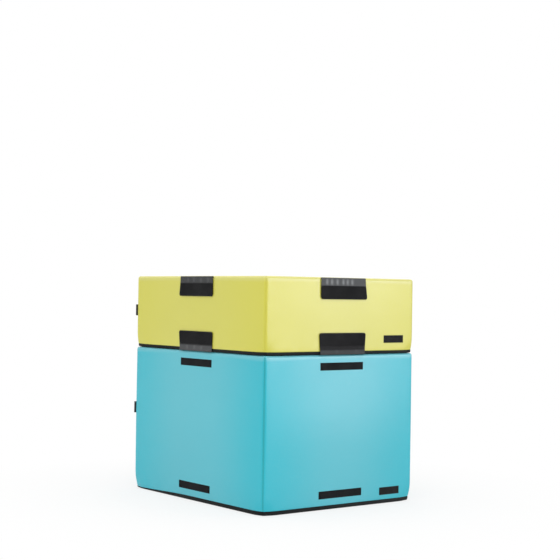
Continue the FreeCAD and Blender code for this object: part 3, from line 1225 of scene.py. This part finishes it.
# Places of the pleats, their depth, the strength of the highlight painted on the fold zone and how far
# it reaches, in millimetres
flap_folds = {("right", "top"): ([-84, -60, -32, -2, 20, 44], 1.2, 0.52, 31),
              ("front", "top"): ([-60, -20, 30, 80], 0.5, 0.24, 30),
              ("front", "bottom"): ([-40, 10, 60], 0.4, 0.38, 26),
              ("right", "bottom"): ([-70, 30], 0.3, 0.26, 15)}
other_folds = (0.6, 0.22, 30)
most_lean = 2
farthest_pleat = 100

# %% [markdown]
# A flap is drawn hanging from the X axis, with the axis as its fold line. Those on the hidden sides
# get pleats and a lean by chance, from a seeded draw, and those in the photograph have their own.

# %% Flaps


def flap_width(away):
    """Half the width of a flap at a distance from its fold line."""
    return flap_half_root + flap_flare * np.clip(away / flap_reach, 0, 1)


def flap_path():
    """Distances along the flap from the rolled bead to the free end, and the (y, z) point of each."""
    roll = np.linspace(-bead_turn * bead_radius, 0, 17)[:-1]
    straight = np.linspace(0, flap_reach - flap_corner, 40)
    corner = flap_reach - flap_corner + flap_corner * np.sin(np.linspace(0, math.pi / 2, 8)[1:])
    away = np.concatenate([roll, straight, corner])
    turn = np.clip(-away, 0, None) / bead_radius
    settle = 1 - smooth_step(away / bead_settle)
    y = np.where(away < 0, -bead_radius * np.cos(turn), -bead_radius * settle)
    z = np.where(away < 0, bead_radius * np.sin(turn), -away)
    return away, np.column_stack([y, z])


def flap_fabric(name, pleats, depth, pale, pale_reach):
    """The cloth of one flap, with pleats pressed into its fold zone, where a paler highlight is
    painted, brightest on the pleats.
    """
    away, path = flap_path()
    past = np.clip(away - flap_reach + flap_corner, 0, flap_corner)
    half = flap_width(away) - (flap_corner - np.sqrt(flap_corner ** 2 - past ** 2))
    fabric = cloth_band(name, path, half, 76)
    points = points_of(fabric)
    reach = np.clip(-points[:, 2] / fold_zone, 0, 1)
    press = sum(np.exp(-((points[:, 0] - pleat) / pleat_width) ** 2) for pleat in pleats)
    press = np.clip(press, 0, 1) * np.sin(np.pi * reach)
    points[:, 1] += depth * press
    move_points(fabric, points)
    # The painted highlight of the fold zone: it fades out past its reach and is strongest on the
    # pleats.
    ends = 1 - smooth_step((-points[:, 2] - pale_reach) / pale_fade + 0.5)
    store_value(fabric, "wear_and_fold_highlight", pale * ends * (0.6 + press * depth / mm))
    thicken(fabric, flap_thickness, 0)
    dress(fabric, flap_cloth)
    return fabric


def lean_and_flare(piece, lean, tuck, straight_half=None):
    """Give a flap or tape, drawn square, its lean and tucked fold, and a tape its flare."""
    points = points_of(piece)
    away = -points[:, 2]
    if straight_half:
        points[:, 0] *= (flap_width(away) - tape_margin) / straight_half
    points[:, 0] += lean * np.clip(away / flap_reach, 0, 1)
    points[:, 2] += tuck * smooth_step(away / fold_zone)
    move_points(piece, points)


def flap_place(side, level):
    """The matrix that carries a flap, drawn hanging from the X axis, to its fold line on the box."""
    low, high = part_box(side + "_" + level + "_flap")
    bead_outer = bead_radius + flap_thickness / 2
    height = high.z - bead_outer if level == "top" else low.z + bead_outer
    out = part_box("front_top_flap")[0].y + bead_outer + side_distance["front"]
    matrix = side_matrix(side) @ Matrix.Translation((0, out, height))
    return matrix if level == "top" else matrix @ Matrix.Rotation(math.radians(180), 4, "Y")


def make_flap(side, level, lean, pleats):
    """One flap with its two hook tapes, on its own body; the pleats are used where none are set."""
    name = side + "_" + level + "_flap"
    place = flap_place(side, level)
    tuck = flap_tuck.get((side, level), 0)
    pleats, depth, pale, pale_reach = flap_folds.get((side, level), (pleats, *other_folds))
    fabric = flap_fabric(name + "_cloth", np.array(pleats) * mm, depth * mm, pale, pale_reach * mm)
    outward = Matrix.Translation((0, -flap_thickness / 2, -tape_middle))
    inward = (Matrix.Translation((0, flap_thickness / 2, -tape_middle))
              @ Matrix.Rotation(math.radians(180), 4, "Z"))
    tapes = [placed_copy(hook_tape, name + "_outer_hooks", outward),
             placed_copy(hook_tape, name + "_inner_hooks", inward)]
    lean_and_flare(fabric, lean, tuck)
    fabric.data.transform(place)
    hand_over(fabric, name, "flap_fabric", name)
    for tape, node in zip(tapes, ("_outer_tape", "_inner_tape")):
        lean_and_flare(tape, lean, tuck, tape_half)
        tape.data.transform(place)
        hand_over(tape, name, "hook_tape", name + node)
    print(name, len(fabric.data.polygons))


hook_tape = sewn_tape("hook_tape", 2 * tape_half, tape_height, edge_thickness=0.7 * mm,
                      field_rise=0.3 * mm, selvage=2.2 * mm, corner=flap_corner - tape_margin,
                      material=hook_pile)
random = np.random.default_rng(7)
for side in side_turns:
    for level in ("top", "bottom"):
        chance_lean = float(random.uniform(-most_lean, most_lean)) * mm
        chance_pleats = random.uniform(-farthest_pleat, farthest_pleat, 4)
        make_flap(side, level, flap_lean.get((side, level), chance_lean), chance_pleats)
bpy.data.objects.remove(hook_tape)

# %% [markdown]
# Each flap turns on a web that is sewn into the module: the top ones come out of the top seam, the
# bottom ones out of the lower edge of the base. The webs stay with the module when the flaps turn.
# The top ones drop at their tips, which leaves room for a flap that is turned right over.

# %% Flap roots
root_thickness = 1.5 * mm
root_depth = 7 * mm
root_half = flap_half_root - 1 * mm
tip_run = 2.4 * mm
tip_drop = {"top": 1.1 * mm, "bottom": 0}
for level in ("top", "bottom"):
    node = "upper_" + level + "_flap_roots"
    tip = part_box(node)[1].y - side_distance["back"]
    outs = np.append(np.linspace(-root_depth, tip - tip_run, 4), tip)
    heights = middle_of(node).z - np.where(outs < tip, 0, tip_drop[level])
    webs = []
    for side in side_turns:
        web = cloth_band("web", np.column_stack([-outs, heights]), root_half, 40)
        thicken(web, root_thickness, 0)
        dress(web, flap_cloth)
        web.data.transform(side_matrix(side))
        webs.append(web)
    roots = join_pieces("upper_" + level + "_webs", webs)
    hand_over(roots, "upper_module", "flap_fabric", node)
    print(roots.name, len(roots.data.polygons))

# %% [markdown]
# The zip lies in the slot of the base. Its two tapes are sewn to the inside, and each carries a row of
# moulded teeth, one tooth repeated by an array. The slider and its pull stay as they were built, since
# they are plain cast metal, and only take their lacquer.

# %% Zips
zip_tape_thickness = 0.8 * mm
zip_half_gap = 0.7 * mm
tooth_pitch = 2.5 * mm
tooth_width = 1.6 * mm
tooth_reach = 2.6 * mm
tooth_start = 10.5 * mm
bare_ends = 24 * mm
zip_tape_bevel = 0.15 * mm
tooth_bevel = 0.3 * mm


def bevelled_block(name, corners, bevel, material):
    """A block between two opposite corners with narrow bevels."""
    block = start_cube(name, np.min(corners, axis=0), np.max(corners, axis=0))
    bpy.ops.mesh.bevel(offset=bevel, segments=2)
    close_mesh()
    dress(block, material)
    return block


def zip_half(module, sign):
    """One tape of a zip with its row of teeth."""
    low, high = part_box(module + "_zip_tape")
    near = (low.y + high.y) / 2 + sign * zip_half_gap
    far = high.y if sign > 0 else low.y
    tape_low = high.z - zip_tape_thickness
    tape_corners = [(low.x, near, tape_low), (high.x, far, high.z)]
    tape = bevelled_block("tape", tape_corners, zip_tape_bevel, zip_cloth)
    start = low.x + tooth_start + (tooth_pitch / 2 if sign > 0 else 0)
    tooth_corners = [(start, near, low.z), (start + tooth_width, near + sign * tooth_reach, tape_low)]
    teeth = bevelled_block("tooth", tooth_corners, tooth_bevel, zip_lacquer)
    repeat_along(teeth, int((high.x - low.x - bare_ends) / tooth_pitch), tooth_pitch)
    return [tape, teeth]


for module in module_box:
    tapes = join_pieces(module + "_zip_halves", zip_half(module, -1) + zip_half(module, 1))
    hand_over(tapes, module + "_module", "zip_tape", module + "_zip_tape")
    for node in ("_zip_slider", "_zip_pull"):
        dress(bpy.data.objects[module + node], zip_lacquer)
    print(tapes.name, len(tapes.data.polygons))

# %% [markdown]
# A plain room: a pale floor, a white surround, and soft boxes of light. The floor and the world are
# white to the camera and to reflections, and the floor still takes the shadow of the box near it.

# %% Floor, world and light
white = (1, 1, 1)
cool_white = (0.92, 0.925, 1.0)
world_level = 0.72


def make_floor():
    """A large pale floor that keeps a soft shadow near the box and is white beyond it."""
    floor = start_piece("floor", bpy.ops.mesh.primitive_plane_add, size=60)
    material, tree, shader = start_material("pale_floor")
    paint(shader, shade((0.9, 0.9, 0.9)), 0.9)
    away = add_node(tree, "VectorMath", {"operation": "LENGTH"}, Vector=place_of(tree)).outputs["Value"]
    whiten = map_range(away, 0.6, 1.4, 0.75, 1.0)
    path = add_node(tree, "LightPath").outputs
    seen = calculate("MAXIMUM", path["Is Camera Ray"], path["Is Glossy Ray"])
    glow = add_node(tree, "Emission", None, Strength=1.0)
    blend = add_node(tree, "MixShader", None, Fac=calculate("MULTIPLY", seen, whiten))
    tree.links.new(shader.outputs[0], blend.inputs[1])
    tree.links.new(glow.outputs[0], blend.inputs[2])
    tree.links.new(blend.outputs[0], tree.nodes["Material Output"].inputs["Surface"])
    dress(floor, material)


def make_world(level):
    """Even light from all round, and white where the camera or a reflection looks at it."""
    world = bpy.data.worlds.new("studio")
    bpy.context.scene.world = world
    world.use_nodes = True
    tree = world.node_tree
    path = add_node(tree, "LightPath").outputs
    seen = calculate("MAXIMUM", path["Is Camera Ray"], path["Is Transmission Ray"])
    seen = calculate("MAXIMUM", seen, path["Is Glossy Ray"])
    strength = map_range(seen, 0.0, 1.0, level, 1.0)
    fill_inputs(tree.nodes["Background"], {"Color": shade(white), "Strength": strength})


def soft_box(name, place, aim, size, power, colour, only_gloss=False):
    """A soft box of a width and a height that looks at a point; one for gloss alone lights no cloth."""
    bpy.ops.object.light_add(type="AREA", location=place)
    lamp = bpy.context.object
    lamp.name = name
    lamp.rotation_euler = (Vector(aim) - Vector(place)).to_track_quat("-Z", "Y").to_euler()
    lamp.data.shape = "RECTANGLE"
    lamp.data.size, lamp.data.size_y = size
    lamp.data.energy = power
    lamp.data.color = colour
    lamp.visible_camera = False
    lamp.visible_diffuse = not only_gloss


make_floor()
make_world(world_level)
soft_box("front_soft_box", (3.2, -2.6, 2.6), (0.2, -0.2, 0.5), (2.5, 2.5), 23, white)
soft_box("top_soft_box", (0.3, -0.2, 3.6), (0, 0, 0.9), (3, 3), 50, white)
soft_box("right_gloss", (4.33, 3.05, 1.6), (0.45, 0, 0.5), (1.7, 0.8), 90, cool_white, True)
soft_box("low_gloss", (4.33, 3.1, 0.55), (0.45, 0, 0.5), (1.7, 1.0), 33, cool_white, True)
soft_box("left_gloss", (-4.65, -3.4, 0.25), (0, -0.38, 0.5), (0.9, 0.4), 3, (1.0, 1.0, 0.98), True)
bpy.context.scene.view_settings.view_transform = "Standard"
